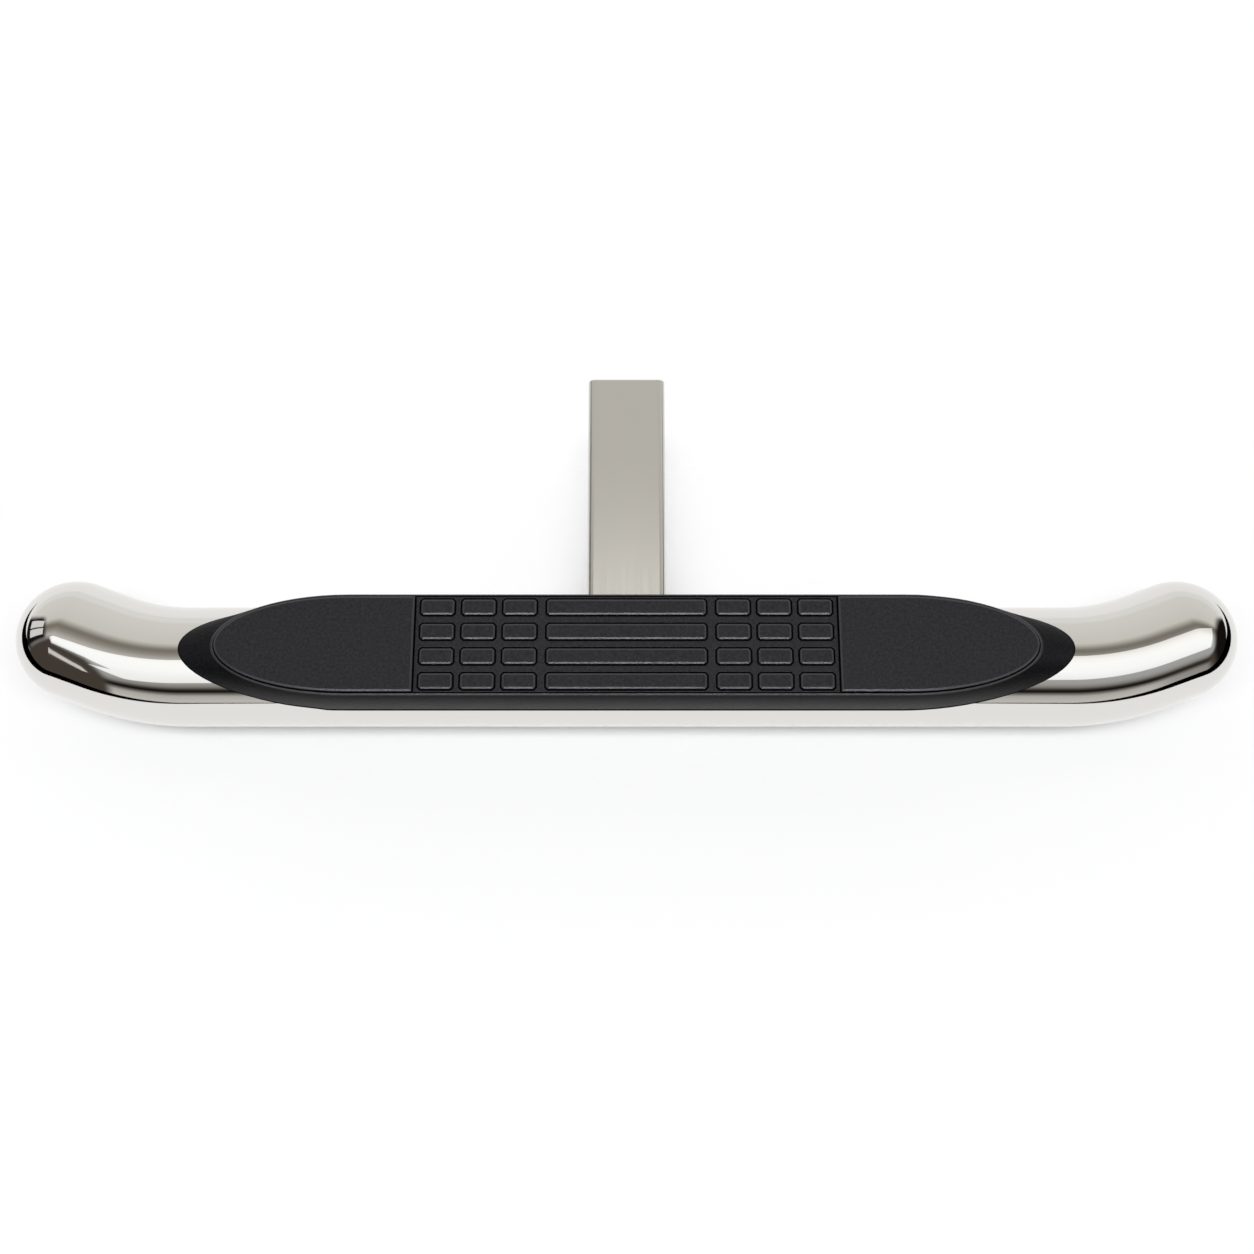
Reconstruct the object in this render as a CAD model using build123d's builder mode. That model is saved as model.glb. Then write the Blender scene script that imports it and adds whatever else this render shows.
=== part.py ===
from build123d import *
import os
from math import asin, atan, cos, degrees, radians, sin, sqrt, tan

os.makedirs("parts", exist_ok=True)

# Hitch receiver step: a bent polished tube with domed ends, welded to a square shank
# and carrying a moulded tread pad. Millimetres.
# The origin is the centre of the hitch pin hole, on the shank's centre line.
# +X runs along the bar, +Y points to the vehicle, +Z is up.

# Bar tube, in the flat: a straight middle, a bend and a short straight on each side.
tube_diameter = 76.2
tube_wall = 2.0
straight_length = 555.0
bend_radius = 2 * tube_diameter
bend_angle = 20.7
end_length = 22.4

# Receiver shank and its pin.
shank_width = 50.0
shank_wall = 5.0
shank_corner = 4.0
shank_reach = 192.0
shank_edge_break = 1.0
pin_to_shank_end = 66.0
pin_hole_diameter = 16.5
pin_hole_edge_break = 0.5
weld_leg = 6.0

# Step pad: straight sides between two elliptical ends that share one centre on each side.
pad_straight_length = 344.0
platform_width = 61.4
platform_end_length = 81.5
platform_height = 10.4
platform_step = 2.0
platform_edge_width = 1.2
platform_edge_fall = 0.55
ledge_width = 1.9
ledge_crest = 0.2
ledge_fall = 0.45
groove_width = 0.8
groove_depth = 0.8
skirt_width = 68.0
skirt_end_length = 105.5
lip_height = 1.2
pad_wall = 2.4
rib_thickness = 2.0
rib_spread = 28.0
notch_clearance = 1.5
notch_corner = 6.0

# Tread field across the middle of the platform, with a groove round each block and at both ends.
field_length = 262.0
field_depth = 2.0
tread_rows = 4
row_pitch = 15.95
block_length = 20.7
block_width = 10.2
block_height = 1.0
block_gap = 4.7
block_corner_cut = 1.4
block_draft = 6.0
block_edge_width = 1.1
block_edge_fall = 0.5
block_groove_width = 1.0
block_groove_depth = 1.0
blocks_beside_bar = 3
centre_bar_length = 98.4
centre_bar_gap = 6.3

# Push-in clips on the pad's centre line, each in a slotted housing under the platform.
clip_count = 4
clip_pitch = 130.0
clip_head_width = 14.0
clip_head_thickness = 1.8
clip_neck_width = 5.6
clip_barb_width = 10.4
clip_barb_length = 8.0
clip_fit = 0.2
clip_floor = 1.6
housing_length = 24.0
housing_width = 20.0

tube_radius = tube_diameter / 2
bore_radius = tube_radius - tube_wall
shank_half = shank_width / 2
tube_y = pin_to_shank_end - shank_reach
platform_z = tube_radius + platform_height
ledge_z = platform_z - platform_step
field_z = platform_z - field_depth
ceiling_z = field_z - block_groove_depth - pad_wall
pad_end_centre = pad_straight_length / 2

tube_axis = Plane((0, tube_y, 0), x_dir=(0, 1, 0), z_dir=(1, 0, 0))
shank_end = Plane((0, pin_to_shank_end, 0), x_dir=(1, 0, 0), z_dir=(0, -1, 0))
pad_floor = Plane((0, tube_y, 0))
notch_plane = Plane((0, tube_y, 0), x_dir=(-1, 0, 0), z_dir=(0, 1, 0))
notch_width = shank_width + 2 * (weld_leg + notch_clearance)
notch_height = shank_half + weld_leg / 2 + notch_clearance

with BuildLine(Plane.XY) as centre_line:
    middle = Line((0, tube_y), (straight_length / 2, tube_y))
    bend = JernArc(middle @ 1, middle % 1, bend_radius, bend_angle)
    end_run = Line(bend @ 1, (bend @ 1) + (bend % 1) * end_length)
tube_end = Plane(end_run @ 1, z_dir=end_run % 1)

clip_places = [(clip_pitch * (i - (clip_count - 1) / 2), tube_y) for i in range(clip_count)]

with BuildPart() as bar_tube:
    with BuildSketch(tube_axis):
        Circle(tube_radius)
        Circle(bore_radius, mode=Mode.SUBTRACT)
    sweep(path=centre_line.wire())
    mirror(about=Plane.YZ)
    with Locations(*[(x, y, tube_radius) for x, y in clip_places]):
        Cylinder(clip_neck_width / sqrt(2) + clip_fit, tube_radius, mode=Mode.SUBTRACT)
bar_tube.part.label = "bar_tube"
export_step(bar_tube.part, "parts/bar_tube.step")

dome_align = (Align.CENTER, Align.CENTER, Align.MIN)

with BuildPart() as end_domes:
    with Locations(tube_end):
        Sphere(tube_radius, arc_size1=0, align=dome_align)
        Sphere(bore_radius, arc_size1=0, align=dome_align, mode=Mode.SUBTRACT)
    mirror(about=Plane.YZ)
end_domes.part.label = "end_domes"
export_step(end_domes.part, "parts/end_domes.step")

with BuildPart() as receiver_shank:
    with BuildSketch(shank_end):
        RectangleRounded(shank_width, shank_width, shank_corner)
        offset(amount=-shank_wall, kind=Kind.INTERSECTION, mode=Mode.SUBTRACT)
    extrude(amount=shank_reach)
    chamfer(receiver_shank.faces().sort_by(Axis.Y)[-1].outer_wire().edges(), shank_edge_break)
    with Locations(tube_axis):
        Cylinder(tube_radius, 2 * shank_width, mode=Mode.SUBTRACT)
    with Locations(Plane.YZ):
        Cylinder(pin_hole_diameter / 2, 2 * shank_width, mode=Mode.SUBTRACT)
    pin_edges = receiver_shank.edges(Select.NEW)
    chamfer(pin_edges.group_by(Axis.X)[0] + pin_edges.group_by(Axis.X)[-1], pin_hole_edge_break)
receiver_shank.part.label = "receiver_shank"
export_step(receiver_shank.part, "parts/receiver_shank.step")

# The weld slopes from the shank's sides to the tube as a cone round the tube's axis, and from the
# shank's top and underside as a flat, and the two meet at the shank's corners.
weld_reach = shank_half + weld_leg
seam_angle = asin(shank_half / tube_radius)
seam_y = tube_radius * cos(seam_angle)
toe_y = tube_radius * cos(seam_angle + weld_leg / tube_radius)
toe_z = tube_radius * sin(seam_angle + weld_leg / tube_radius)

with BuildPart() as shank_weld:
    with BuildSketch(Plane.XY):
        with BuildLine():
            Polyline(
                (-weld_reach, tube_y),
                (-weld_reach, tube_y + tube_radius),
                (-shank_half, tube_y + tube_radius + weld_leg),
                (shank_half, tube_y + tube_radius + weld_leg),
                (weld_reach, tube_y + tube_radius),
                (weld_reach, tube_y),
                close=True,
            )
        make_face()
    revolve(axis=Axis((0, tube_y, 0), (1, 0, 0)))
    with BuildSketch(tube_axis):
        with BuildLine():
            Polyline(
                (0, toe_z),
                (toe_y, toe_z),
                (seam_y + weld_leg, shank_half),
                (tube_radius + weld_leg, shank_half),
                (tube_radius + weld_leg, 0),
                (0, 0),
                close=True,
            )
        make_face()
        mirror(about=Plane.XZ)
    extrude(amount=weld_reach, both=True, mode=Mode.INTERSECT)
    with Locations(tube_axis):
        Cylinder(tube_radius, 4 * shank_width, mode=Mode.SUBTRACT)
    with BuildSketch(shank_end):
        RectangleRounded(shank_width, shank_width, shank_corner)
    extrude(amount=shank_reach, mode=Mode.SUBTRACT)
shank_weld.part.label = "shank_weld"
export_step(shank_weld.part, "parts/shank_weld.step")


# Outline of the pad at one level, as front, right end, back and left end.
# The ends are half ellipses, and height gives each point's level from its distance to the tube.
def pad_outline(width, end_length, height):
    angles = [radians(a) for a in range(-90, 91, 10)]
    ends = []
    for side in (1, -1):
        points = []
        for a in angles:
            x = pad_end_centre + end_length * cos(a)
            y = width / 2 * sin(a)
            points.append((side * x, tube_y + side * y, height(y)))
        ends.append(Edge.make_spline(points, tangents=[(side, 0, 0), (-side, 0, 0)], parameters=angles))
    right, left = ends
    return [Edge.make_line(left @ 1, right @ 0), right, Edge.make_line(right @ 1, left @ 0), left]


# The blank is ruled from a crest round the platform over the ledge's sloping edge, down the skirt
# to a lip that lies along the tube, and on to the tube's middle.
crest_offset = groove_width + ledge_crest
ledge_full_width = platform_width + 2 * ledge_width
ledge_end_length = platform_end_length + ledge_width
lip_radius = tube_radius + lip_height
blank_outlines = [
    pad_outline(platform_width + 2 * crest_offset, platform_end_length + crest_offset, lambda y: ledge_z),
    pad_outline(ledge_full_width, ledge_end_length, lambda y: ledge_z - ledge_fall),
    pad_outline(skirt_width, skirt_end_length, lambda y: sqrt(lip_radius**2 - y**2)),
    pad_outline(skirt_width, skirt_end_length, lambda y: 0.0),
]
blank_faces = [Face(Wire(blank_outlines[0])), Face(Wire(blank_outlines[-1]))]
for upper, lower in zip(blank_outlines, blank_outlines[1:]):
    blank_faces += [Face.make_surface_from_curves(top, low) for top, low in zip(upper, lower)]
pad_blank = Solid(Shell(blank_faces))


# Plan of the pad as a sketch, for the raised platform, the groove at its foot and the hollow.
def pad_plan(width, end_length, mode=Mode.ADD):
    Rectangle(pad_straight_length, width, mode=mode)
    with Locations((-pad_end_centre, 0), (pad_end_centre, 0)):
        Ellipse(end_length, width / 2, mode=mode)


# Slot of a clip housing, from the clip's seat to the end of the housing, open along the bar.
def clip_slot(width):
    slot_width = width + 2 * clip_fit
    with Locations((-slot_width / 2, 0)):
        Rectangle((housing_length + slot_width) / 2, slot_width, align=(Align.MIN, Align.CENTER))


first_block = (centre_bar_length + block_length) / 2 + centre_bar_gap
block_step = block_length + block_gap
right_columns = [first_block + i * block_step for i in range(blocks_beside_bar)]
block_columns = [side * x for side in (-1, 1) for x in right_columns]
block_rows = [row_pitch * (i - (tread_rows - 1) / 2) for i in range(tread_rows)]
shoulder_rise = block_groove_depth + block_height - block_edge_fall
shoulder_inset = shoulder_rise * tan(radians(block_draft))
clip_seat_z = tube_radius + clip_floor


# Plan of the tread blocks and of the long bars in the middle, grown by a border where it is given.
def tread_plan(border=0.0):
    with Locations(*[(x, y) for x in block_columns for y in block_rows]):
        Rectangle(block_length + 2 * border, block_width + 2 * border)
    with GridLocations(0, row_pitch, 1, tread_rows):
        Rectangle(centre_bar_length + 2 * border, block_width + 2 * border)


with BuildPart() as step_pad:
    add(pad_blank)
    with BuildSketch(pad_floor):
        pad_plan(ledge_full_width - 2 * pad_wall, ledge_end_length - 2 * pad_wall)
    extrude(amount=ceiling_z, mode=Mode.SUBTRACT)
    with BuildSketch(pad_floor.offset(ceiling_z)):
        with GridLocations(clip_pitch, 0, clip_count, 1):
            Rectangle(housing_length, housing_width)
        with GridLocations(clip_pitch, 0, clip_count - 1, 1):
            Rectangle(rib_thickness, platform_width)
        with GridLocations(0, rib_spread, 1, 2):
            Rectangle(pad_straight_length + platform_end_length, rib_thickness)
    extrude(amount=-ceiling_z)
    with Locations(tube_axis):
        Cylinder(tube_radius, 2 * straight_length, mode=Mode.SUBTRACT)
    with BuildSketch(pad_floor.offset(clip_seat_z)):
        with GridLocations(clip_pitch, 0, clip_count, 1):
            clip_slot(clip_head_width)
    extrude(amount=clip_head_thickness + 2 * clip_fit, mode=Mode.SUBTRACT)
    with BuildSketch(pad_floor.offset(clip_seat_z)):
        with GridLocations(clip_pitch, 0, clip_count, 1):
            clip_slot(clip_neck_width)
    extrude(amount=-2 * clip_floor, mode=Mode.SUBTRACT)
    with BuildSketch(notch_plane):
        RectangleRounded(notch_width, 2 * notch_height, notch_corner)
    extrude(amount=skirt_width, mode=Mode.SUBTRACT)
    with BuildSketch(pad_floor.offset(ledge_z)):
        pad_plan(platform_width, platform_end_length)
    extrude(amount=platform_step)
    with BuildSketch(pad_floor.offset(field_z)):
        Rectangle(field_length, platform_width)
    extrude(amount=field_depth, mode=Mode.SUBTRACT)
    for face in step_pad.faces().filter_by(Plane.XY).group_by(Axis.Z)[-1]:
        chamfer(face.edges(), platform_edge_width, platform_edge_fall, reference=face)
    with BuildSketch(pad_floor.offset(ledge_z)):
        pad_plan(platform_width + 2 * groove_width, platform_end_length + groove_width)
        pad_plan(platform_width, platform_end_length, mode=Mode.SUBTRACT)
    extrude(amount=-groove_depth, mode=Mode.SUBTRACT)
    with BuildSketch(pad_floor.offset(field_z)) as grooves:
        tread_plan(block_groove_width)
        chamfer(grooves.vertices(), block_corner_cut + (2 - sqrt(2)) * block_groove_width)
        with GridLocations(field_length - block_groove_width, 0, 2, 1):
            Rectangle(block_groove_width, platform_width)
    extrude(amount=-block_groove_depth, mode=Mode.SUBTRACT)
    with BuildSketch(pad_floor.offset(field_z - block_groove_depth)) as blocks:
        tread_plan()
        chamfer(blocks.vertices(), block_corner_cut)
    extrude(amount=shoulder_rise, taper=block_draft)
    with BuildSketch(pad_floor.offset(field_z + block_height - block_edge_fall)) as shoulders:
        tread_plan(-shoulder_inset)
        chamfer(shoulders.vertices(), block_corner_cut - (2 - sqrt(2)) * shoulder_inset)
    extrude(amount=block_edge_fall, taper=degrees(atan(block_edge_width / block_edge_fall)))
step_pad.part.label = "step_pad"
export_step(step_pad.part, "parts/step_pad.step")

# Clip, from its head in the pad down through the tube wall to the barb that holds it there.
clip_head_z = clip_seat_z + clip_fit
clip_barb_z = sqrt(bore_radius**2 - (clip_neck_width / 2) ** 2) - clip_fit

with BuildPart() as clip:
    with BuildSketch(Plane.XZ.offset(-tube_y)):
        with BuildLine():
            Polyline(
                (-clip_neck_width / 2, clip_head_z),
                (-clip_neck_width / 2, clip_barb_z),
                (-clip_barb_width / 2, clip_barb_z),
                (0, clip_barb_z - clip_barb_length),
                (clip_barb_width / 2, clip_barb_z),
                (clip_neck_width / 2, clip_barb_z),
                (clip_neck_width / 2, clip_head_z),
                close=True,
            )
        make_face()
    extrude(amount=clip_neck_width / 2, both=True)
    with BuildSketch(pad_floor.offset(clip_head_z)):
        Rectangle(clip_head_width, clip_head_width)
    extrude(amount=clip_head_thickness)

with BuildPart() as pad_clips:
    with Locations(*[(x, 0) for x, y in clip_places]):
        add(clip.part)
pad_clips.part.label = "pad_clips"
export_step(pad_clips.part, "parts/pad_clips.step")
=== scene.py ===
from math import atan2, cos, pi, radians, sin, tan

import bmesh
import bpy
from mathutils import Matrix, Quaternion, Vector


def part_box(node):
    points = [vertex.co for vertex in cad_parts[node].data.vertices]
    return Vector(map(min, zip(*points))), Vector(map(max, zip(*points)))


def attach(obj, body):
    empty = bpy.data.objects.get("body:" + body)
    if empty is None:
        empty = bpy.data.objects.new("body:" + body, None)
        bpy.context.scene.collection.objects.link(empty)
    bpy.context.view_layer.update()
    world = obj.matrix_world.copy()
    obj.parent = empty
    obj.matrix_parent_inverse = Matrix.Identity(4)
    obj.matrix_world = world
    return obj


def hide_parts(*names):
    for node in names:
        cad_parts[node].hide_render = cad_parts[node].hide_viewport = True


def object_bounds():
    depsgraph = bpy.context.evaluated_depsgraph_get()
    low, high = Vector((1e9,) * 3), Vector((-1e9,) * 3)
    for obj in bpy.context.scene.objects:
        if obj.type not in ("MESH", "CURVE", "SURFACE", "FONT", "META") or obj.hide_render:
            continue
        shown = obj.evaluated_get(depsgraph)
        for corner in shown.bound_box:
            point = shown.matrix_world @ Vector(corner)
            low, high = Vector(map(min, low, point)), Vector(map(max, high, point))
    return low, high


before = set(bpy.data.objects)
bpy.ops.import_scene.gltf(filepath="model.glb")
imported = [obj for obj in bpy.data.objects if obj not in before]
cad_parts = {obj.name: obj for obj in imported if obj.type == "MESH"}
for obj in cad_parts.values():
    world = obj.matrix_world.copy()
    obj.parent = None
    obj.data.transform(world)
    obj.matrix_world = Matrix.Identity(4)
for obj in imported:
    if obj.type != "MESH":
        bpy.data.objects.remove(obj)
cad_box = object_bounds()

# The bar: a round stainless tube, straight in the middle and bent towards the vehicle at both ends.
# Half-round caps are welded on and the whole bar is ground flush and mirror polished, so tube and
# caps are one unbroken skin with a thin wall. The clips of the pad go through holes in its crest.
mm = 0.001
tube_low, tube_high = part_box("bar_tube")
tube_radius = (tube_high.z - tube_low.z) / 2
tube_y = tube_low.y + tube_radius
tube_wall = 2.0 * mm
tube_sides = 144
straight_half = 277.5 * mm
bend_radius = 4 * tube_radius
bend_angle = radians(20.7)
bend_steps = 24
end_length = 22.4 * mm
bend_centre = Vector((straight_half, tube_y + bend_radius, 0))
end_direction = Vector((cos(bend_angle), sin(bend_angle), 0))
bend_end = bend_centre + bend_radius * Vector((sin(bend_angle), -cos(bend_angle), 0))
cap_centre = bend_end + end_direction * end_length
across_bar = Matrix.Rotation(pi / 2, 4, "Y")
clip_count = 4
clip_pitch = 130.0 * mm
clip_hole_radius = 4.16 * mm
clip_hole_sides = 32
merge_distance = 0.001 * mm
sharp_edge = radians(30)

skin = bmesh.new()
bmesh.ops.create_circle(
    skin,
    segments=tube_sides,
    radius=tube_radius,
    matrix=Matrix.Translation((0, tube_y, 0)) @ across_bar,
)
run = bmesh.ops.extrude_edge_only(skin, edges=skin.edges[:])["geom"]
run_verts = [v for v in run if isinstance(v, bmesh.types.BMVert)]
bmesh.ops.translate(skin, vec=(straight_half, 0, 0), verts=run_verts)
bend = bmesh.ops.spin(
    skin,
    geom=[g for g in run if not isinstance(g, bmesh.types.BMFace)],
    cent=bend_centre,
    axis=(0, 0, 1),
    angle=bend_angle,
    steps=bend_steps,
)["geom_last"]
bend_edges = [e for e in bend if isinstance(e, bmesh.types.BMEdge)]
end = bmesh.ops.extrude_edge_only(skin, edges=bend_edges)["geom"]
end_verts = [v for v in end if isinstance(v, bmesh.types.BMVert)]
bmesh.ops.translate(skin, vec=end_direction * end_length, verts=end_verts)
cap = bmesh.ops.create_uvsphere(
    skin,
    u_segments=tube_sides,
    v_segments=tube_sides // 2,
    radius=tube_radius,
    matrix=Matrix.Translation(cap_centre) @ Matrix.Rotation(bend_angle, 4, "Z") @ across_bar,
)["verts"]
inside_tube = [v for v in cap if (v.co - cap_centre).dot(end_direction) < -merge_distance]
bmesh.ops.delete(skin, geom=inside_tube, context="VERTS")
right_half = skin.verts[:] + skin.edges[:] + skin.faces[:]
bmesh.ops.mirror(skin, geom=right_half, axis="X", merge_dist=merge_distance)
bmesh.ops.remove_doubles(skin, verts=skin.verts[:], dist=10 * merge_distance)
bmesh.ops.recalc_face_normals(skin, faces=skin.faces[:])

bar_mesh = bpy.data.meshes.new("polished_bar")
skin.to_mesh(bar_mesh)
skin.free()
bar = bpy.data.objects.new("polished_bar", bar_mesh)
bpy.context.collection.objects.link(bar)

drill_bits = bmesh.new()
for i in range(clip_count):
    x = clip_pitch * (i - (clip_count - 1) / 2)
    bmesh.ops.create_cone(
        drill_bits,
        cap_ends=True,
        segments=clip_hole_sides,
        radius1=clip_hole_radius,
        radius2=clip_hole_radius,
        depth=tube_radius,
        matrix=Matrix.Translation((x, tube_y, tube_radius)),
    )
drill_mesh = bpy.data.meshes.new("clip_drill")
drill_bits.to_mesh(drill_mesh)
drill_bits.free()
drill = bpy.data.objects.new("clip_drill", drill_mesh)
bpy.context.collection.objects.link(drill)

wall = bar.modifiers.new("tube_wall", "SOLIDIFY")
wall.thickness = tube_wall
wall.offset = -1
holes = bar.modifiers.new("clip_holes", "BOOLEAN")
holes.object = drill
holes.solver = "EXACT"
finished = bar.evaluated_get(bpy.context.evaluated_depsgraph_get())
bar.data = bpy.data.meshes.new_from_object(finished)
bar.modifiers.clear()
bpy.data.objects.remove(drill)
bar.data.shade_smooth()
bar.data.set_sharp_from_angle(angle=sharp_edge)


def linear(hex_colour):
    channels = [int(hex_colour[i : i + 2], 16) / 255 for i in (1, 3, 5)]
    return (*[c / 12.92 if c <= 0.04045 else ((c + 0.055) / 1.055) ** 2.4 for c in channels], 1.0)


def add_node(tree, kind, inputs=None, **settings):
    node = tree.nodes.new(kind)
    for name, value in settings.items():
        setattr(node, name, value)
    for name, value in (inputs or {}).items():
        if isinstance(value, bpy.types.NodeSocket):
            tree.links.new(value, node.inputs[name])
        else:
            node.inputs[name].default_value = value
    return node


def new_material(name):
    material = bpy.data.materials.new(name)
    material.use_nodes = True
    material.node_tree.nodes.clear()
    return material, material.node_tree


# Polished 304 stainless: near-mirror, a little warm, with the slow ripple that belt polishing leaves
# and faint haze where the buffing compound dragged round the tube.
haze_patch = 22 * mm
ripple_length = 35 * mm
ripple_depth = 1 * mm
polished_steel, tree = new_material("mirror_polished_stainless")
place = add_node(tree, "ShaderNodeTexCoord").outputs["Object"]
haze = add_node(
    tree, "ShaderNodeTexNoise", {"Vector": place, "Scale": 1 / haze_patch, "Detail": 4.0}
)
shine = add_node(
    tree,
    "ShaderNodeMapRange",
    {"Value": haze.outputs["Fac"], "To Min": 0.03, "To Max": 0.06},
)
ripple = add_node(
    tree, "ShaderNodeTexNoise", {"Vector": place, "Scale": 1 / ripple_length, "Detail": 1.0}
)
buffing = add_node(
    tree,
    "ShaderNodeBump",
    {"Height": ripple.outputs["Fac"], "Strength": 0.02, "Distance": ripple_depth},
)
steel = add_node(
    tree,
    "ShaderNodeBsdfPrincipled",
    {
        "Base Color": linear("#E0DEDA"),
        "Metallic": 1.0,
        "Roughness": shine.outputs["Result"],
        "Normal": buffing.outputs["Normal"],
    },
)
add_node(tree, "ShaderNodeOutputMaterial", {"Surface": steel.outputs["BSDF"]})

bar.data.materials.clear()
bar.data.materials.append(polished_steel)
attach(bar, "root")
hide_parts("bar_tube", "end_domes")

# The receiver shank: 50 mm square stainless tube with rounded corners, cut square at the end that
# goes into the vehicle and drilled through for the hitch pin. It keeps its mill-brushed finish.
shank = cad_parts["receiver_shank"]

# Satin stainless: fine belt strokes along the tube blur what it mirrors into a soft, even grey.
# Real strokes are about 0.1 mm apart. They are drawn coarser here, so that they show.
brush_pitch = 1.1 * mm
brush_stroke = 60 * mm
brush_depth = 0.1 * mm
satin_steel, tree = new_material("satin_stainless_tube")
place = add_node(tree, "ShaderNodeTexCoord").outputs["Object"]
along = add_node(
    tree,
    "ShaderNodeMapping",
    {"Vector": place, "Scale": (1 / brush_pitch, 1 / brush_stroke, 1 / brush_pitch)},
)
strokes = add_node(
    tree, "ShaderNodeTexNoise", {"Vector": along.outputs["Vector"], "Scale": 1.0, "Detail": 3.0}
)
brushed = add_node(
    tree,
    "ShaderNodeMapRange",
    {"Value": strokes.outputs["Fac"], "To Min": 0.17, "To Max": 0.3},
)
scratches = add_node(
    tree,
    "ShaderNodeBump",
    {"Height": strokes.outputs["Fac"], "Strength": 0.06, "Distance": brush_depth},
)
steel = add_node(
    tree,
    "ShaderNodeBsdfPrincipled",
    {
        "Base Color": linear("#D2D0CB"),
        "Metallic": 1.0,
        "Roughness": brushed.outputs["Result"],
        "Normal": scratches.outputs["Normal"],
    },
)
add_node(tree, "ShaderNodeOutputMaterial", {"Surface": steel.outputs["BSDF"]})
shank.data.materials[0] = satin_steel

# The weld: one bead of filler run round the end of the shank where it meets the tube. It is laid in
# overlapping puddles and wire-brushed, so it is duller than both tubes and stepped along its length.
weld_leg = 6.0 * mm
puddle_count = 66
puddle_rise = 0.7 * mm
puddle_mean = 0.75
puddle_bow = 1.2 * mm
fused_depth = 0.25 * mm
bead_grid = 0.5 * mm
shank_low, shank_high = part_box("receiver_shank")
shank_half = (shank_high.x - shank_low.x) / 2
shank_corner = 4.0 * mm
seam_length = 8 * shank_half
puddle_pitch = seam_length / puddle_count

bead_mesh = bpy.data.meshes.new_from_object(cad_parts["shank_weld"])
bead_mesh.name = "weld_bead"
fillet = bmesh.new()
fillet.from_mesh(bead_mesh)
bmesh.ops.remove_doubles(fillet, verts=fillet.verts[:], dist=merge_distance)
fillet.to_mesh(bead_mesh)
fillet.free()
bead = bpy.data.objects.new("weld_bead", bead_mesh)
bpy.context.collection.objects.link(bead)
grid = bead.modifiers.new("even_grid", "REMESH")
grid.mode = "VOXEL"
grid.voxel_size = bead_grid
finished = bead.evaluated_get(bpy.context.evaluated_depsgraph_get())
bead.data = bpy.data.meshes.new_from_object(finished)
bead.modifiers.clear()

puddles = bmesh.new()
puddles.from_mesh(bead.data)
all_axes = {"use_axis_x": True, "use_axis_y": True, "use_axis_z": True}
bmesh.ops.smooth_vert(puddles, verts=puddles.verts[:], factor=0.5, **all_axes)
puddles.normal_update()
# free_face is 1 in the middle of the bead's open face and 0 where it is fused to either tube.
for v, normal in [(v, v.normal.copy()) for v in puddles.verts]:
    off_tube = max(Vector((v.co.y - tube_y, v.co.z)).length - tube_radius, 0)
    past_x = max(abs(v.co.x) - shank_half + shank_corner, 0)
    past_z = max(abs(v.co.z) - shank_half + shank_corner, 0)
    off_shank = max(Vector((past_x, past_z)).length - shank_corner, 0)
    free_face = min(off_tube * off_shank * 4 / weld_leg**2, 1)
    turn = atan2(v.co.z, v.co.x)
    side = round(turn / (pi / 2))
    along_seam = (2 * side + tan(turn - side * pi / 2)) * shank_half
    puddle = abs(sin(pi * (along_seam + puddle_bow * free_face) / puddle_pitch))
    rise = puddle_rise * (puddle - puddle_mean) * free_face
    v.co += normal * (fused_depth * (1 - free_face) + rise)
bmesh.ops.smooth_vert(puddles, verts=puddles.verts[:], factor=0.5, **all_axes)
bmesh.ops.recalc_face_normals(puddles, faces=puddles.faces[:])
puddles.to_mesh(bead.data)
puddles.free()
bead.data.shade_smooth()

# Stainless filler after a wire brush: grey with straw-coloured heat tint, and no mirror left.
# The brush marks are drawn about 1 mm wide, coarser than real ones, so that they show.
heat_patch = 6 * mm
wire_mark = 1.0 * mm
weld_steel, tree = new_material("brushed_weld_bead")
place = add_node(tree, "ShaderNodeTexCoord").outputs["Object"]
tint = add_node(
    tree, "ShaderNodeTexNoise", {"Vector": place, "Scale": 1 / heat_patch, "Detail": 2.0}
)
heat = add_node(
    tree,
    "ShaderNodeMix",
    {0: tint.outputs["Fac"], 6: linear("#B9B4AC"), 7: linear("#8F877B")},
    data_type="RGBA",
)
brushing = add_node(
    tree, "ShaderNodeTexNoise", {"Vector": place, "Scale": 1 / wire_mark, "Detail": 3.0}
)
dulled = add_node(
    tree,
    "ShaderNodeMapRange",
    {"Value": brushing.outputs["Fac"], "To Min": 0.3, "To Max": 0.45},
)
steel = add_node(
    tree,
    "ShaderNodeBsdfPrincipled",
    {"Base Color": heat.outputs[2], "Metallic": 1.0, "Roughness": dulled.outputs["Result"]},
)
add_node(tree, "ShaderNodeOutputMaterial", {"Surface": steel.outputs["BSDF"]})
bead.data.materials.clear()
bead.data.materials.append(weld_steel)
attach(bead, "root")
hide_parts("shank_weld")

# The clips: push-in studs moulded in black nylon. Each head slides into a slotted housing under the
# pad and each barb snaps through a hole in the tube's crest. They are out of sight once the pad is on.
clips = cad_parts["pad_clips"]

# Moulded nylon: black with a soft sheen, a little uneven where the melt flowed into the mould.
flow_mark = 3 * mm
clip_nylon, tree = new_material("black_nylon")
place = add_node(tree, "ShaderNodeTexCoord").outputs["Object"]
flow = add_node(
    tree, "ShaderNodeTexNoise", {"Vector": place, "Scale": 1 / flow_mark, "Detail": 2.0}
)
gloss = add_node(
    tree,
    "ShaderNodeMapRange",
    {"Value": flow.outputs["Fac"], "To Min": 0.35, "To Max": 0.5},
)
nylon = add_node(
    tree,
    "ShaderNodeBsdfPrincipled",
    {"Base Color": linear("#26272A"), "Roughness": gloss.outputs["Result"], "IOR": 1.53},
)
add_node(tree, "ShaderNodeOutputMaterial", {"Surface": nylon.outputs["BSDF"]})
clips.data.materials[0] = clip_nylon

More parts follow.
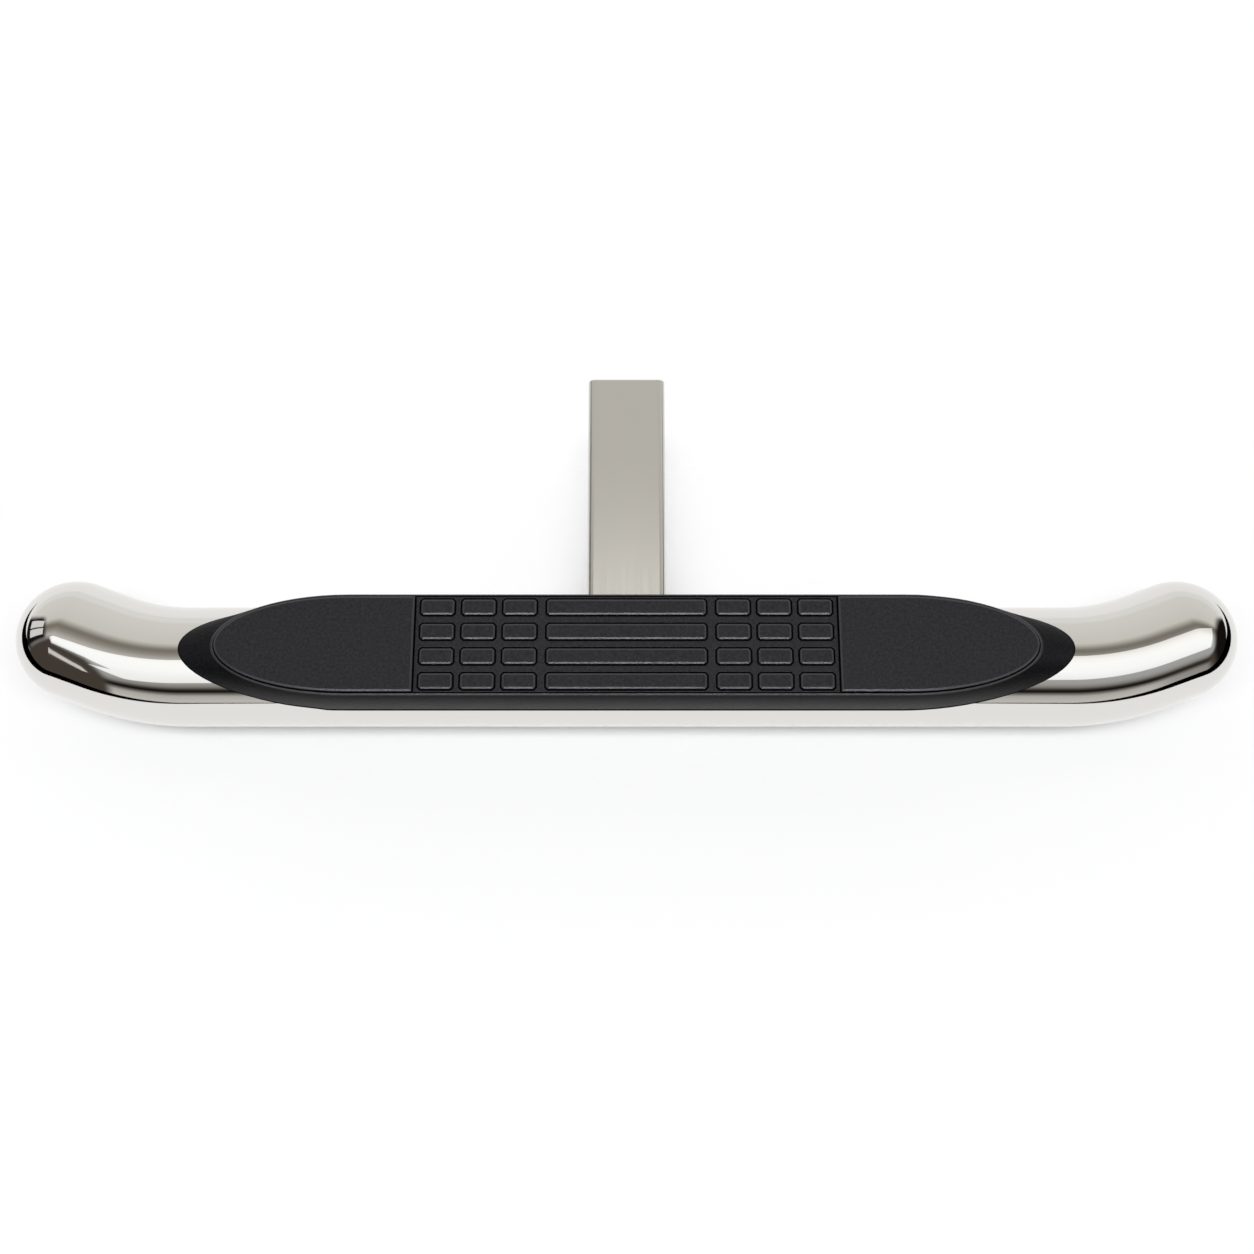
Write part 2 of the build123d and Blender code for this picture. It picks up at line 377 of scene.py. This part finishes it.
# The step pad: one injection moulding in black polypropylene, with a raised platform, a tread field
# of low blocks and a skirt that wraps down onto the tube. The mould is etched with a leather grain.
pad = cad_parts["step_pad"]
skirt_top = 46.0 * mm
skirt_foot = 20 * mm
skirt_shade_top = skirt_top - 4 * mm
tread_blend = 0.4 * mm

# Grained polypropylene: a low-sheen, speckled black. Edges are rubbed smooth, and on the tread a
# painted highlight turns them a little grey. A near-black painted shade takes the shine off the
# grooves, the skirt below the ledge and the pad's foot on the tube. Real grain is about 0.5 mm across
# and its specks are finer. Both are drawn coarser, so that they show.
edge_radius = 0.4 * mm
grain_size = 1.3 * mm
grain_depth = 0.25 * mm
speck_size = 1.8 * mm
cloud_size = 18 * mm
groove_reach = 3.0 * mm
seam_high = tube_radius + 2.2 * mm
seam_low = tube_radius + 1.1 * mm
pad_plastic, tree = new_material("grained_black_polypropylene")
place = add_node(tree, "ShaderNodeTexCoord").outputs["Object"]
rounded = add_node(tree, "ShaderNodeBevel", {"Radius": edge_radius}, samples=8)
pebbles = add_node(
    tree, "ShaderNodeTexVoronoi", {"Vector": place, "Scale": 1 / grain_size}, feature="SMOOTH_F1"
)
clouds = add_node(
    tree, "ShaderNodeTexNoise", {"Vector": place, "Scale": 1 / cloud_size, "Detail": 5.0}
)
specks = add_node(
    tree,
    "ShaderNodeTexNoise",
    {"Vector": place, "Scale": 1 / speck_size, "Detail": 3.0, "Roughness": 0.7},
)
speckle = add_node(
    tree,
    "ShaderNodeMapRange",
    {"Value": specks.outputs["Fac"], "From Min": 0.35, "From Max": 0.75},
)
black = add_node(
    tree,
    "ShaderNodeMix",
    {0: speckle.outputs["Result"], 6: linear("#151518"), 7: linear("#2A2A2E")},
    data_type="RGBA",
)
dullness = add_node(
    tree,
    "ShaderNodeMapRange",
    {"Value": clouds.outputs["Fac"], "To Min": 0.34, "To Max": 0.42},
)
facing = add_node(tree, "ShaderNodeNewGeometry")
slope = add_node(tree, "ShaderNodeSeparateXYZ", {"Vector": facing.outputs["Normal"]})
sloping = add_node(
    tree,
    "ShaderNodeMapRange",
    {"Value": slope.outputs["Z"], "From Min": 0.97, "From Max": 0.93},
)
xyz = add_node(tree, "ShaderNodeSeparateXYZ", {"Vector": place})
on_tread = add_node(
    tree,
    "ShaderNodeMapRange",
    {"Value": xyz.outputs["Z"], "From Min": skirt_top - tread_blend, "From Max": skirt_top},
)
# The sloped edges on the tread: rubbed smoother and less grainy, and given a painted highlight below.
rubbed_highlit_edges = add_node(
    tree,
    "ShaderNodeMath",
    {0: sloping.outputs["Result"], 1: on_tread.outputs["Result"]},
    operation="MULTIPLY",
)
# Painted highlight: a lighter grey mixed into the black along the sloped tread edges.
edge_highlit_black = add_node(
    tree,
    "ShaderNodeMix",
    {0: rubbed_highlit_edges.outputs[0], 6: black.outputs[2], 7: linear("#37373B")},
    data_type="RGBA",
)
edge_polish = add_node(
    tree,
    "ShaderNodeMapRange",
    {"Value": rubbed_highlit_edges.outputs[0], "To Min": dullness.outputs["Result"], "To Max": 0.23},
)
grain_left = add_node(
    tree, "ShaderNodeMapRange", {"Value": rubbed_highlit_edges.outputs[0], "To Min": 0.8, "To Max": 0.2}
)
grain = add_node(
    tree,
    "ShaderNodeBump",
    {
        "Height": pebbles.outputs["Distance"],
        "Strength": grain_left.outputs["Result"],
        "Distance": grain_depth,
        "Normal": rounded.outputs["Normal"],
    },
)
plastic = add_node(
    tree,
    "ShaderNodeBsdfPrincipled",
    {
        "Base Color": edge_highlit_black.outputs[2],
        "Roughness": edge_polish.outputs["Result"],
        "IOR": 1.49,
        "Specular IOR Level": 0.28,
        "Normal": grain.outputs["Normal"],
    },
)
# Painted shade: ambient occlusion picks out the grooves and corners, where near-black is mixed in
# below.
shade_probe = add_node(tree, "ShaderNodeAmbientOcclusion", {"Distance": groove_reach}, samples=8)
groove_shade = add_node(
    tree,
    "ShaderNodeMapRange",
    {"Value": shade_probe.outputs["AO"], "From Min": 0.84, "From Max": 0.48},
)
from_axis = add_node(
    tree, "ShaderNodeMapping", {"Vector": place, "Location": (0, -tube_y, 0), "Scale": (0, 1, 1)}
)
off_axis = add_node(
    tree, "ShaderNodeVectorMath", {0: from_axis.outputs["Vector"]}, operation="LENGTH"
)
# Painted shade: a dark line along the pad's foot, just clear of the tube.
foot_shade = add_node(
    tree,
    "ShaderNodeMapRange",
    {"Value": off_axis.outputs["Value"], "From Min": seam_high, "From Max": seam_low},
)
corner_shade = add_node(
    tree,
    "ShaderNodeMath",
    {0: groove_shade.outputs["Result"], 1: foot_shade.outputs["Result"]},
    operation="MAXIMUM",
)
off_tread = add_node(
    tree, "ShaderNodeMath", {0: 1.0, 1: on_tread.outputs["Result"]}, operation="SUBTRACT"
)
# Painted shade: the skirt goes darker towards the ledge, most where it is steep.
steep_shade = add_node(
    tree,
    "ShaderNodeMapRange",
    {"Value": slope.outputs["Z"], "From Min": 0.9, "From Max": 0.5, "To Min": 0.56, "To Max": 0.8},
)
skirt_shade_upwards = add_node(
    tree,
    "ShaderNodeMapRange",
    {
        "Value": xyz.outputs["Z"],
        "From Min": skirt_foot,
        "From Max": skirt_shade_top,
        "To Min": 0.25,
        "To Max": steep_shade.outputs["Result"],
    },
)
skirt_painted_shade = add_node(
    tree,
    "ShaderNodeMath",
    {0: off_tread.outputs[0], 1: skirt_shade_upwards.outputs["Result"]},
    operation="MULTIPLY",
)
# All the painted shade on the pad, as a share of flat near-black with no shine.
painted_shade_share = add_node(
    tree,
    "ShaderNodeMath",
    {0: corner_shade.outputs[0], 1: skirt_painted_shade.outputs[0]},
    operation="MAXIMUM",
)
shade_black = add_node(tree, "ShaderNodeBsdfDiffuse", {"Color": linear("#040405"), "Roughness": 1.0})
plastic_with_painted_shade = add_node(
    tree,
    "ShaderNodeMixShader",
    {0: painted_shade_share.outputs[0], 1: plastic.outputs["BSDF"], 2: shade_black.outputs["BSDF"]},
)
add_node(tree, "ShaderNodeOutputMaterial", {"Surface": plastic_with_painted_shade.outputs["Shader"]})
pad.data.materials[0] = pad_plastic

# The table: seamless white paper, which the bar lies on. To the camera its white runs on for ever, but
# the bar mirrors the paper's edges at both sides: past them glossy rays find it black, a painted dark
# reflection.
floor_level = cad_box[0].z
floor_half = 8.0
paper_half_width = 0.58
paper_back = 0.1
floor_mesh = bpy.data.meshes.new("paper_floor")
sheet = bmesh.new()
bmesh.ops.create_grid(
    sheet,
    x_segments=1,
    y_segments=1,
    size=floor_half,
    matrix=Matrix.Translation((0, 0, floor_level)),
)
sheet.to_mesh(floor_mesh)
sheet.free()
floor = bpy.data.objects.new("paper_floor", floor_mesh)
bpy.context.collection.objects.link(floor)

# White paper: flat, glowing evenly for the camera and in the steel, over a matt face that takes the
# lamps' soft shadow close to the bar. The glow is least in a long patch before the bar and rises away
# from it: painted light that lifts the shadow behind the bar and beside the shank. Where the bar
# closes over the paper the glow fades, a painted contact shadow.
shadow_reach = 0.09
patch_middle_y = -0.35
patch_squeeze = 0.3
paper, tree = new_material("white_paper")
rays = add_node(tree, "ShaderNodeLightPath")
place = add_node(tree, "ShaderNodeTexCoord").outputs["Object"]
xyz = add_node(tree, "ShaderNodeSeparateXYZ", {"Vector": place})
across = add_node(tree, "ShaderNodeMath", {0: xyz.outputs["X"]}, operation="ABSOLUTE")
past_edge = add_node(
    tree,
    "ShaderNodeMath",
    {0: across.outputs[0], 1: paper_half_width},
    operation="GREATER_THAN",
)
at_front = add_node(
    tree, "ShaderNodeMath", {0: xyz.outputs["Y"], 1: paper_back}, operation="LESS_THAN"
)
off_paper = add_node(
    tree,
    "ShaderNodeMath",
    {0: past_edge.outputs[0], 1: at_front.outputs[0]},
    operation="MULTIPLY",
)
# Painted reflection: off the paper, glossy rays see black.
painted_edge_reflection = add_node(
    tree,
    "ShaderNodeMath",
    {0: off_paper.outputs[0], 1: rays.outputs["Is Glossy Ray"]},
    operation="MULTIPLY",
)
brightness = add_node(
    tree, "ShaderNodeMath", {0: 1.0, 1: painted_edge_reflection.outputs[0]}, operation="SUBTRACT"
)
before_bar = add_node(
    tree,
    "ShaderNodeMapping",
    {"Vector": place, "Location": (0, -patch_middle_y, 0), "Scale": (patch_squeeze, 1, 1)},
)
far_off = add_node(
    tree, "ShaderNodeVectorMath", {0: before_bar.outputs["Vector"]}, operation="LENGTH"
)
# Painted light: the glow rises away from the patch before the bar and lifts the shadow behind it.
white_and_painted_light_share = add_node(
    tree,
    "ShaderNodeMapRange",
    {"Value": far_off.outputs["Value"], "From Min": 0.2, "From Max": 0.38, "To Min": 0.38},
)
to_camera = add_node(
    tree,
    "ShaderNodeMath",
    {0: rays.outputs["Is Camera Ray"], 1: white_and_painted_light_share.outputs["Result"]},
    operation="MULTIPLY",
)
to_mirror = add_node(
    tree,
    "ShaderNodeMath",
    {0: rays.outputs["Is Glossy Ray"], 1: 0.93, 2: to_camera.outputs[0]},
    operation="MULTIPLY_ADD",
)
# Painted shadow: the glow fades where the bar closes over the paper, for the camera and in the steel.
shade_probe = add_node(tree, "ShaderNodeAmbientOcclusion", {"Distance": shadow_reach}, samples=4)
outside_contact_shadow = add_node(
    tree,
    "ShaderNodeMapRange",
    {"Value": shade_probe.outputs["AO"], "From Min": 0.35, "From Max": 0.46},
)
glow_with_contact_shadow = add_node(
    tree,
    "ShaderNodeMath",
    {0: to_mirror.outputs[0], 1: outside_contact_shadow.outputs["Result"]},
    operation="MULTIPLY",
)
glow_share = add_node(
    tree,
    "ShaderNodeMath",
    {0: glow_with_contact_shadow.outputs[0], 1: painted_edge_reflection.outputs[0]},
    operation="MAXIMUM",
)
matt = add_node(tree, "ShaderNodeBsdfDiffuse", {"Color": linear("#F6F7F9")})
glow = add_node(tree, "ShaderNodeEmission", {"Strength": brightness.outputs[0]})
mixed = add_node(
    tree,
    "ShaderNodeMixShader",
    {0: glow_share.outputs[0], 1: matt.outputs["BSDF"], 2: glow.outputs["Emission"]},
)
add_node(tree, "ShaderNodeOutputMaterial", {"Surface": mixed.outputs["Shader"]})
floor_mesh.materials.append(paper)

# The room: a pale wall behind the table and a dim studio in front and at both sides. The bands run
# along the bar, so they go by the angle round the X axis, in degrees from the zenith to the back.
bands_by_lean = [
    (-180, "#F8F8F7"),
    (-92, "#D6D4D1"),
    (-84, "#CDCBC8"),
    (-76, "#BFBCB8"),
    (-71, "#7A7672"),
    (-67, "#1A1816"),
    (-64, "#1A1816"),
    (-61, "#4A4743"),
    (-56, "#928F8A"),
    (-50, "#AEAFAF"),
    (-40, "#B6B8B9"),
    (-28, "#C8CACB"),
    (-12, "#CECFD0"),
    (-4, "#C6C3BE"),
    (4, "#A09B94"),
    (11, "#868179"),
    (15, "#8A857D"),
    (20, "#B4B0A9"),
    (27, "#DEDCD7"),
    (58, "#E6E5E2"),
    (72, "#E8E7E4"),
    (78, "#F2F2F0"),
    (180, "#F8F8F7"),
]
world = bpy.data.worlds.new("studio_room")
bpy.context.scene.world = world
world.use_nodes = True
tree = world.node_tree
tree.nodes.clear()
direction = add_node(tree, "ShaderNodeTexCoord").outputs["Generated"]
xyz = add_node(tree, "ShaderNodeSeparateXYZ", {"Vector": direction})
lean = add_node(
    tree, "ShaderNodeMath", {0: xyz.outputs["Y"], 1: xyz.outputs["Z"]}, operation="ARCTAN2"
)
turn = add_node(
    tree,
    "ShaderNodeMapRange",
    {"Value": lean.outputs[0], "From Min": -pi, "From Max": pi},
)
bands = add_node(tree, "ShaderNodeValToRGB", {"Fac": turn.outputs["Result"]})
ramp = bands.color_ramp
while len(ramp.elements) < len(bands_by_lean):
    ramp.elements.new(0.5)
for element, (degrees_back, colour) in zip(ramp.elements, bands_by_lean):
    element.position = degrees_back / 360 + 0.5
    element.color = linear(colour)
# The dark ends: unlit walls far to the left, round the window, and far to the right.
dark_left = add_node(
    tree,
    "ShaderNodeMapRange",
    {"Value": xyz.outputs["X"], "From Min": -0.64, "From Max": -0.78},
    interpolation_type="SMOOTHSTEP",
)
dark_right = add_node(
    tree,
    "ShaderNodeMapRange",
    {"Value": xyz.outputs["X"], "From Min": 0.82, "From Max": 0.93},
    interpolation_type="SMOOTHSTEP",
)
beside_window = add_node(
    tree,
    "ShaderNodeMapRange",
    {"Value": xyz.outputs["Y"], "From Min": -0.22, "From Max": -0.08},
    interpolation_type="SMOOTHSTEP",
)
window_wall = add_node(
    tree,
    "ShaderNodeMath",
    {0: dark_left.outputs[0], 1: beside_window.outputs[0]},
    operation="MULTIPLY",
)
dark_ends = add_node(
    tree,
    "ShaderNodeMath",
    {0: window_wall.outputs[0], 1: dark_right.outputs[0]},
    operation="MAXIMUM",
)
before_wall = add_node(
    tree,
    "ShaderNodeMapRange",
    {"Value": xyz.outputs["Y"], "From Min": 0.5, "From Max": 0.38},
    interpolation_type="SMOOTHSTEP",
)
dark_side = add_node(
    tree,
    "ShaderNodeMath",
    {0: dark_ends.outputs[0], 1: before_wall.outputs[0]},
    operation="MULTIPLY",
)
# The dim corners: brown shade in front, up to the softbox on the left and low on the right.
to_left = add_node(
    tree,
    "ShaderNodeMapRange",
    {"Value": xyz.outputs["X"], "From Min": -0.53, "From Max": -0.58},
    interpolation_type="SMOOTHSTEP",
)
to_right = add_node(
    tree,
    "ShaderNodeMapRange",
    {"Value": xyz.outputs["X"], "From Min": 0.55, "From Max": 0.85},
    interpolation_type="SMOOTHSTEP",
)
under_softbox = add_node(
    tree,
    "ShaderNodeMapRange",
    {"Value": xyz.outputs["Z"], "From Min": 0.86, "From Max": 0.8},
    interpolation_type="SMOOTHSTEP",
)
in_front = add_node(
    tree,
    "ShaderNodeMapRange",
    {"Value": xyz.outputs["Y"], "From Min": -0.05, "From Max": -0.25},
    interpolation_type="SMOOTHSTEP",
)
low_down = add_node(
    tree,
    "ShaderNodeMapRange",
    {"Value": xyz.outputs["Z"], "From Min": 0.42, "From Max": 0.3},
    interpolation_type="SMOOTHSTEP",
)
left_corner = add_node(
    tree,
    "ShaderNodeMath",
    {0: to_left.outputs[0], 1: under_softbox.outputs[0]},
    operation="MULTIPLY",
)
right_corner = add_node(
    tree,
    "ShaderNodeMath",
    {0: to_right.outputs[0], 1: low_down.outputs[0]},
    operation="MULTIPLY",
)
corners = add_node(
    tree,
    "ShaderNodeMath",
    {0: left_corner.outputs[0], 1: right_corner.outputs[0]},
    operation="MAXIMUM",
)
dim_corner = add_node(
    tree,
    "ShaderNodeMath",
    {0: corners.outputs[0], 1: in_front.outputs[0]},
    operation="MULTIPLY",
)
wall_colour = add_node(
    tree,
    "ShaderNodeMix",
    {0: dim_corner.outputs[0], 6: bands.outputs["Color"], 7: linear("#4A433D")},
    data_type="RGBA",
)
room_colour = add_node(
    tree,
    "ShaderNodeMix",
    {0: dark_side.outputs[0], 6: wall_colour.outputs[2], 7: linear("#171412")},
    data_type="RGBA",
)
# The camera itself sees plain white round the table.
rays = add_node(tree, "ShaderNodeLightPath")
room = add_node(
    tree, "ShaderNodeBackground", {"Color": room_colour.outputs[2], "Strength": 1.0}
)
backdrop = add_node(tree, "ShaderNodeBackground", {"Color": (1, 1, 1, 1), "Strength": 1.0})
mixed = add_node(
    tree,
    "ShaderNodeMixShader",
    {
        0: rays.outputs["Is Camera Ray"],
        1: room.outputs["Background"],
        2: backdrop.outputs["Background"],
    },
)
add_node(tree, "ShaderNodeOutputWorld", {"Surface": mixed.outputs["Shader"]})

# The lamps: a long softbox overhead with a wing at its left front and a bright row of tubes inside, a
# strip on a stand, a spot over the shank, a two-pane window on the left, and a bounce sheet that
# lights the table and the pad but isn't seen in the steel.
softbox_height = 2.4
softbox_size = (2.5 * softbox_height, 0.95 * softbox_height)
softbox_middle = softbox_height * Vector((0.4, -0.48, 1))
softbox_turn = radians(10)
softbox_white = 0.7
softbox_tint = (0.96, 0.98, 1.0)
wing_middle = Vector((-1.72, -2.38, softbox_height))
wing_size = (1.25, 1.06)
strip_middle = Vector((-1.87, -1.44, 1.34))
strip_size = (0.08, 0.8)
strip_turn = radians(33)
left_end = Vector((-0.36, -0.12, 0.02))
tubes_middle = softbox_height * Vector((0, -0.55, 0.98))
tubes_size = (1.6, 0.3)
spot_middle = Vector((0, 0.62, softbox_height))
spot_size = (0.5, 0.4)
bounce_middle = Vector((0, -0.59, 2.4))
bounce_size = (3.0, 0.6)
window_middle = Vector((-2.2, 0.26, 0.86))
window_faces = Vector((2.2, -0.3, -0.9))
pane_size = (0.36, 1.1)
pane_offset = Vector((0, 0.22, 0))
down = Vector((0, 0, -1))


# A lamp's power gives its face a set brightness, where 1 is white paper in plain light. In the steel
# it adds to the glow of the room behind it.
def add_lamp(name, centre, towards, size, brightness, turn=0.0):
    lamp = bpy.data.lights.new(name, "AREA")
    lamp.shape = "RECTANGLE"
    lamp.size, lamp.size_y = size
    lamp.energy = brightness * pi * size[0] * size[1]
    holder = bpy.data.objects.new(name, lamp)
    bpy.context.collection.objects.link(holder)
    holder.location = centre
    holder.rotation_mode = "QUATERNION"
    facing = (centre - towards).to_track_quat("Z", "Y")
    holder.rotation_quaternion = facing @ Quaternion((0, 0, 1), turn)
    holder.visible_camera = False
    return holder


softbox = add_lamp(
    "overhead_softbox",
    softbox_middle,
    softbox_middle + down,
    softbox_size,
    softbox_white,
    softbox_turn,
)
softbox.data.color = softbox_tint
wing = add_lamp(
    "softbox_wing", wing_middle, wing_middle + down, wing_size, softbox_white, softbox_turn
)
strip = add_lamp("light_strip", strip_middle, left_end, strip_size, 0.7, strip_turn)
tubes = add_lamp("softbox_tubes", tubes_middle, tubes_middle + down, tubes_size, 18.0)
spot = add_lamp("shank_spot", spot_middle, spot_middle + down, spot_size, 1.2)
for seen_in_steel in (softbox, wing, strip, tubes, spot):
    seen_in_steel.visible_diffuse = False
bounce = add_lamp("bounce_sheet", bounce_middle, bounce_middle + down, bounce_size, 8.8)
bounce.visible_glossy = False
for pane in (-1, 1):
    pane_middle = window_middle + pane * pane_offset
    add_lamp(f"window_pane_{pane}", pane_middle, pane_middle + window_faces, pane_size, 0.8)

# The camera looks down on the step from behind the vehicle, 71 degrees above the floor, and takes in
# the whole bar with a little white at both ends.
view_height = radians(71)
view_distance = 1.137
view_target = Vector((0.3 * mm, -98.9 * mm, 0))
camera = bpy.data.objects.new("camera", bpy.data.cameras.new("camera"))
bpy.context.collection.objects.link(camera)
camera.data.sensor_width = 36
camera.data.lens = 50.67
camera.location = view_target + view_distance * Vector((0, -cos(view_height), sin(view_height)))
camera.rotation_euler = (pi / 2 - view_height, 0, 0)
bpy.context.scene.camera = camera
bpy.context.scene.view_settings.view_transform = "Standard"
